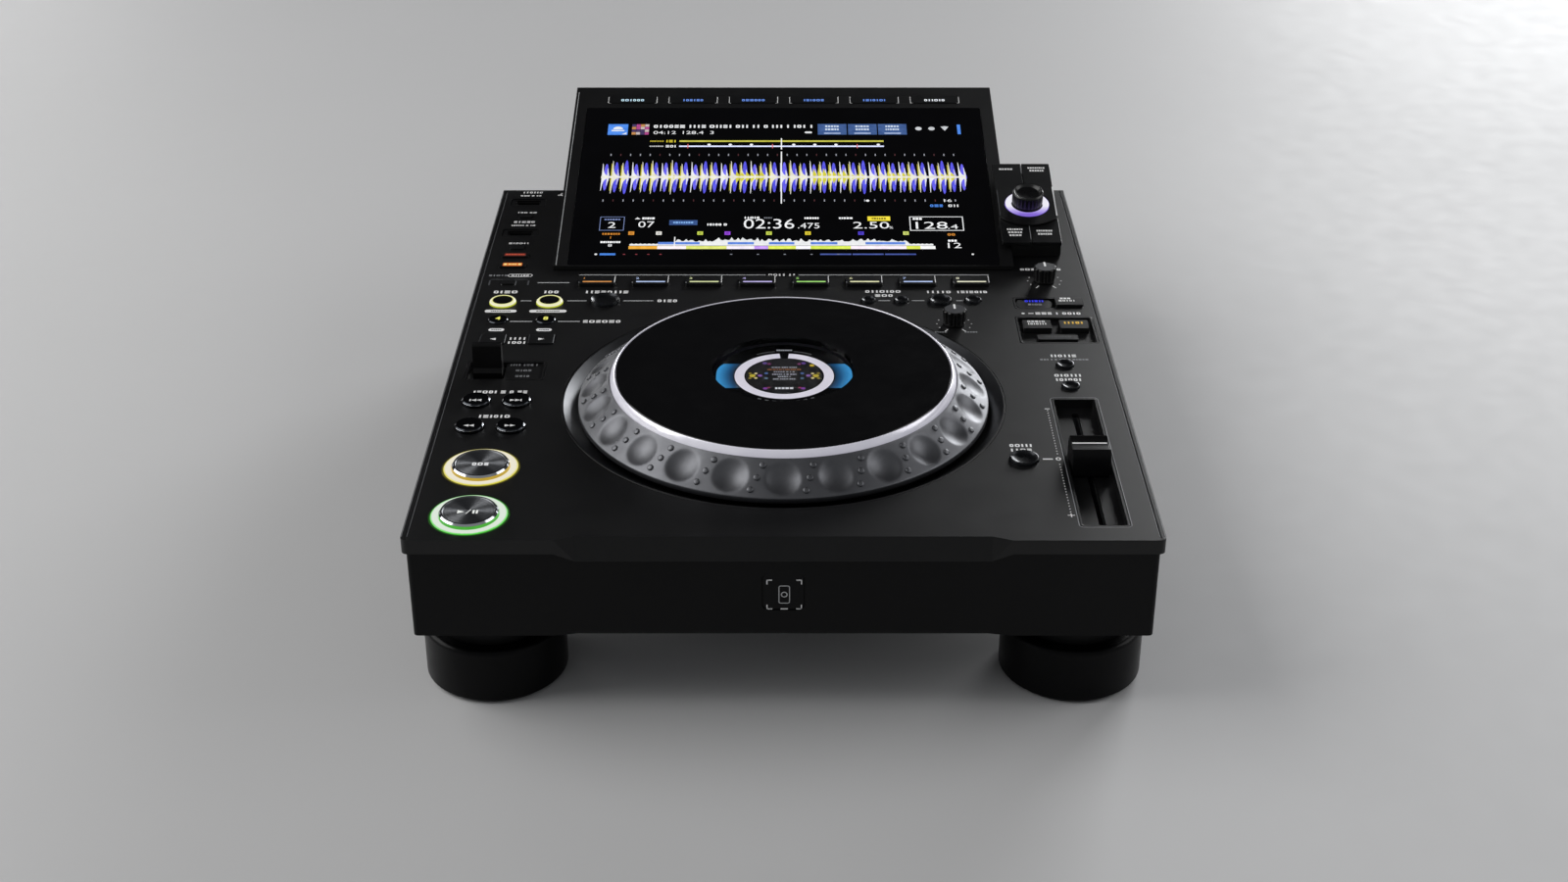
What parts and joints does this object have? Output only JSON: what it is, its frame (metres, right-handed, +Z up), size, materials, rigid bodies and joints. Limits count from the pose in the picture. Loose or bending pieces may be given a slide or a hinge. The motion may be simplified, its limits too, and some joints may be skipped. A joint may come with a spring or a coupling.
{
  "type": "tabletop media player",
  "caption": "Tabletop media player with jog wheel, tilted screen, performance keys, tempo fader and rubber feet.",
  "frame": {"origin": "middle of the footprint's bounding box, on the surface that the feet stand on", "axes": "+Z up; +Y from the player towards the screen; +X to the player's right"},
  "size_m": [0.329, 0.4616, 0.1306],
  "materials": {
    "deck_plastic": "fine satin charcoal",
    "case_plastic": "fine satin black",
    "black_steel": "satin black paint",
    "foot_rubber": "matt",
    "screw_steel": "zinc",
    "circuit_board": "solder mask",
    "supply_case": "plain",
    "socket_plastic": "satin",
    "light_guide": "milky, lit",
    "dark_glass": "polished",
    "display": "lit display",
    "key_plastic": "satin",
    "knob_plastic": "satin black",
    "well_plastic": "satin",
    "jog_grey": "satin metallic grey",
    "bright_band": "bright",
    "gloss_black": "polished",
    "lens": "clear, tinted",
    "dark_chrome": "dark bright",
    "spun_metal": "spun, dark"
  },
  "bodies": {
    "case": {"top_panel": "deck_plastic", "lower_case": "case_plastic", "bottom_cover": "black_steel", "rear_panel": "black_steel", "front_badge": "case_plastic", "feet": "foot_rubber", "foot_necks": "case_plastic", "screws": "screw_steel", "main_board": "circuit_board", "power_supply": "supply_case", "rear_sockets": "socket_plastic", "ac_inlet": "socket_plastic", "usb_ports": "socket_plastic", "control_trays": "socket_plastic", "fader_unit": "screw_steel", "light_rings": "light_guide", "screen_housing": "deck_plastic", "screen_glass": "dark_glass", "lcd_panel": "display", "pod_housing": "case_plastic", "jog_well": "well_plastic", "jog_post": "screw_steel", "jog_display": "display"},
    "jog_wheel": {"jog_ring": "jog_grey", "jog_band": "bright_band"},
    "jog_top": {"jog_plate": "gloss_black", "jog_lens": "lens"},
    "browse_shaft": {"browse_shaft": "screw_steel"},
    "browse_knob": {"browse_knob": "knob_plastic"},
    "jog_adjust_knob": {"jog_adjust_knob": "knob_plastic"},
    "vinyl_speed_knob": {"vinyl_speed_knob": "knob_plastic"},
    "tempo_slider": {"tempo_slider": "knob_plastic"},
    "direction_lever": {"direction_lever": "knob_plastic"},
    "cue_button": {"cue_button": "spun_metal"},
    "play_button": {"play_button": "spun_metal"},
    "loop_in_button": {"loop_in_button": "key_plastic"},
    "loop_out_button": {"loop_out_button": "key_plastic"},
    "reloop_button": {"reloop_button": "key_plastic"},
    "beat_loop_keys": {"beat_loop_keys": "key_plastic"},
    "beat_jump_back_key": {"beat_jump_back_key": "key_plastic"},
    "beat_jump_forward_key": {"beat_jump_forward_key": "key_plastic"},
    "track_back_button": {"track_back_button": "dark_chrome"},
    "track_forward_button": {"track_forward_button": "dark_chrome"},
    "search_back_button": {"search_back_button": "dark_chrome"},
    "search_forward_button": {"search_forward_button": "dark_chrome"},
    "left_mode_keys": {"left_mode_keys": "key_plastic"},
    "memory_keys": {"memory_keys": "key_plastic"},
    "tempo_keys": {"tempo_keys": "key_plastic"},
    "sync_keys": {"sync_keys": "key_plastic"},
    "hot_cue_1": {"hot_cue_1": "key_plastic"},
    "hot_cue_2": {"hot_cue_2": "key_plastic"},
    "hot_cue_3": {"hot_cue_3": "key_plastic"},
    "hot_cue_4": {"hot_cue_4": "key_plastic"},
    "hot_cue_5": {"hot_cue_5": "key_plastic"},
    "hot_cue_6": {"hot_cue_6": "key_plastic"},
    "hot_cue_7": {"hot_cue_7": "key_plastic"},
    "hot_cue_8": {"hot_cue_8": "key_plastic"},
    "menu_keys": {"menu_keys": "key_plastic"},
    "browse_keys": {"browse_keys": "key_plastic"},
    "power_switch": {"power_switch": "socket_plastic"}
  },
  "joints": [
    {"name": "jog_wheel_spin", "type": "hinge", "parent": "case", "child": "jog_wheel", "pos_m": [0, -0.09777, 0.095], "axis": [0, 0, 1], "continuous": true},
    {"name": "jog_top_press", "type": "slide", "parent": "jog_wheel", "child": "jog_top", "axis": [0, 0, -1], "range_m": [0, 0.0005], "stiffness_N_per_m": 3000, "springref_m": -0.0005},
    {"name": "browse_shaft_press", "type": "slide", "parent": "case", "child": "browse_shaft", "axis": [0, 0.2069, -0.9784], "range_m": [0, 0.0005], "stiffness_N_per_m": 600, "springref_m": -0.0005},
    {"name": "browse_knob_turn", "type": "hinge", "parent": "browse_shaft", "child": "browse_knob", "pos_m": [0.13575, 0.10143, 0.10321], "axis": [0, -0.2069, 0.9784], "continuous": true},
    {"name": "jog_adjust_knob_turn", "type": "hinge", "parent": "case", "child": "jog_adjust_knob", "pos_m": [0.0879, -0.01577, 0.095], "axis": [0, 0, -1], "range_deg": [-150, 150]},
    {"name": "vinyl_speed_knob_turn", "type": "hinge", "parent": "case", "child": "vinyl_speed_knob", "pos_m": [0.1399, 0.03753, 0.095], "axis": [0, 0, -1], "range_deg": [-150, 150]},
    {"name": "tempo_slide", "type": "slide", "parent": "case", "child": "tempo_slider", "axis": [0, 1, 0], "range_m": [-0.0475, 0.0475]},
    {"name": "direction_lever_tilt", "type": "hinge", "parent": "case", "child": "direction_lever", "pos_m": [-0.1453, -0.06917, 0.08], "axis": [-1, 0, 0], "range_deg": [-13, 13]},
    {"name": "cue_button_press", "type": "slide", "parent": "case", "child": "cue_button", "axis": [0, 0, -1], "range_m": [0, 0.0012], "stiffness_N_per_m": 600, "springref_m": -0.0005},
    {"name": "play_button_press", "type": "slide", "parent": "case", "child": "play_button", "axis": [0, 0, -1], "range_m": [0, 0.0012], "stiffness_N_per_m": 600, "springref_m": -0.0005},
    {"name": "loop_in_button_press", "type": "slide", "parent": "case", "child": "loop_in_button", "axis": [0, 0, -1], "range_m": [0, 0.0008], "stiffness_N_per_m": 300, "springref_m": -0.0005},
    {"name": "loop_out_button_press", "type": "slide", "parent": "case", "child": "loop_out_button", "axis": [0, 0, -1], "range_m": [0, 0.0008], "stiffness_N_per_m": 300, "springref_m": -0.0005},
    {"name": "reloop_button_press", "type": "slide", "parent": "case", "child": "reloop_button", "axis": [0, 0, -1], "range_m": [0, 0.0008], "stiffness_N_per_m": 300, "springref_m": -0.0005},
    {"name": "beat_loop_keys_press", "type": "slide", "parent": "case", "child": "beat_loop_keys", "axis": [0, 0, -1], "range_m": [0, 0.0008], "stiffness_N_per_m": 300, "springref_m": -0.0005},
    {"name": "beat_jump_back_key_press", "type": "slide", "parent": "case", "child": "beat_jump_back_key", "axis": [0, 0, -1], "range_m": [0, 0.0008], "stiffness_N_per_m": 300, "springref_m": -0.0005},
    {"name": "beat_jump_forward_key_press", "type": "slide", "parent": "case", "child": "beat_jump_forward_key", "axis": [0, 0, -1], "range_m": [0, 0.0008], "stiffness_N_per_m": 300, "springref_m": -0.0005},
    {"name": "track_back_button_press", "type": "slide", "parent": "case", "child": "track_back_button", "axis": [0, 0, -1], "range_m": [0, 0.0008], "stiffness_N_per_m": 300, "springref_m": -0.0005},
    {"name": "track_forward_button_press", "type": "slide", "parent": "case", "child": "track_forward_button", "axis": [0, 0, -1], "range_m": [0, 0.0008], "stiffness_N_per_m": 300, "springref_m": -0.0005},
    {"name": "search_back_button_press", "type": "slide", "parent": "case", "child": "search_back_button", "axis": [0, 0, -1], "range_m": [0, 0.0008], "stiffness_N_per_m": 300, "springref_m": -0.0005},
    {"name": "search_forward_button_press", "type": "slide", "parent": "case", "child": "search_forward_button", "axis": [0, 0, -1], "range_m": [0, 0.0008], "stiffness_N_per_m": 300, "springref_m": -0.0005},
    {"name": "left_mode_keys_press", "type": "slide", "parent": "case", "child": "left_mode_keys", "axis": [0, 0, -1], "range_m": [0, 0.0008], "stiffness_N_per_m": 300, "springref_m": -0.0005},
    {"name": "memory_keys_press", "type": "slide", "parent": "case", "child": "memory_keys", "axis": [0, 0, -1], "range_m": [0, 0.0008], "stiffness_N_per_m": 300, "springref_m": -0.0005},
    {"name": "tempo_keys_press", "type": "slide", "parent": "case", "child": "tempo_keys", "axis": [0, 0, -1], "range_m": [0, 0.0008], "stiffness_N_per_m": 300, "springref_m": -0.0005},
    {"name": "sync_keys_press", "type": "slide", "parent": "case", "child": "sync_keys", "axis": [0, 0, -1], "range_m": [0, 0.0008], "stiffness_N_per_m": 300, "springref_m": -0.0005},
    {"name": "hot_cue_1_press", "type": "slide", "parent": "case", "child": "hot_cue_1", "axis": [0, 0, -1], "range_m": [0, 0.0008], "stiffness_N_per_m": 300, "springref_m": -0.0005},
    {"name": "hot_cue_2_press", "type": "slide", "parent": "case", "child": "hot_cue_2", "axis": [0, 0, -1], "range_m": [0, 0.0008], "stiffness_N_per_m": 300, "springref_m": -0.0005},
    {"name": "hot_cue_3_press", "type": "slide", "parent": "case", "child": "hot_cue_3", "axis": [0, 0, -1], "range_m": [0, 0.0008], "stiffness_N_per_m": 300, "springref_m": -0.0005},
    {"name": "hot_cue_4_press", "type": "slide", "parent": "case", "child": "hot_cue_4", "axis": [0, 0, -1], "range_m": [0, 0.0008], "stiffness_N_per_m": 300, "springref_m": -0.0005},
    {"name": "hot_cue_5_press", "type": "slide", "parent": "case", "child": "hot_cue_5", "axis": [0, 0, -1], "range_m": [0, 0.0008], "stiffness_N_per_m": 300, "springref_m": -0.0005},
    {"name": "hot_cue_6_press", "type": "slide", "parent": "case", "child": "hot_cue_6", "axis": [0, 0, -1], "range_m": [0, 0.0008], "stiffness_N_per_m": 300, "springref_m": -0.0005},
    {"name": "hot_cue_7_press", "type": "slide", "parent": "case", "child": "hot_cue_7", "axis": [0, 0, -1], "range_m": [0, 0.0008], "stiffness_N_per_m": 300, "springref_m": -0.0005},
    {"name": "hot_cue_8_press", "type": "slide", "parent": "case", "child": "hot_cue_8", "axis": [0, 0, -1], "range_m": [0, 0.0008], "stiffness_N_per_m": 300, "springref_m": -0.0005},
    {"name": "menu_keys_press", "type": "slide", "parent": "case", "child": "menu_keys", "axis": [0, 0.2069, -0.9784], "range_m": [0, 0.0005], "stiffness_N_per_m": 300, "springref_m": -0.0005},
    {"name": "browse_keys_press", "type": "slide", "parent": "case", "child": "browse_keys", "axis": [0, 0.2069, -0.9784], "range_m": [0, 0.0005], "stiffness_N_per_m": 300, "springref_m": -0.0005},
    {"name": "power_switch_press", "type": "slide", "parent": "case", "child": "power_switch", "axis": [0, -1, 0], "range_m": [0, 0.002], "stiffness_N_per_m": 400, "springref_m": -0.0005}
  ]
}
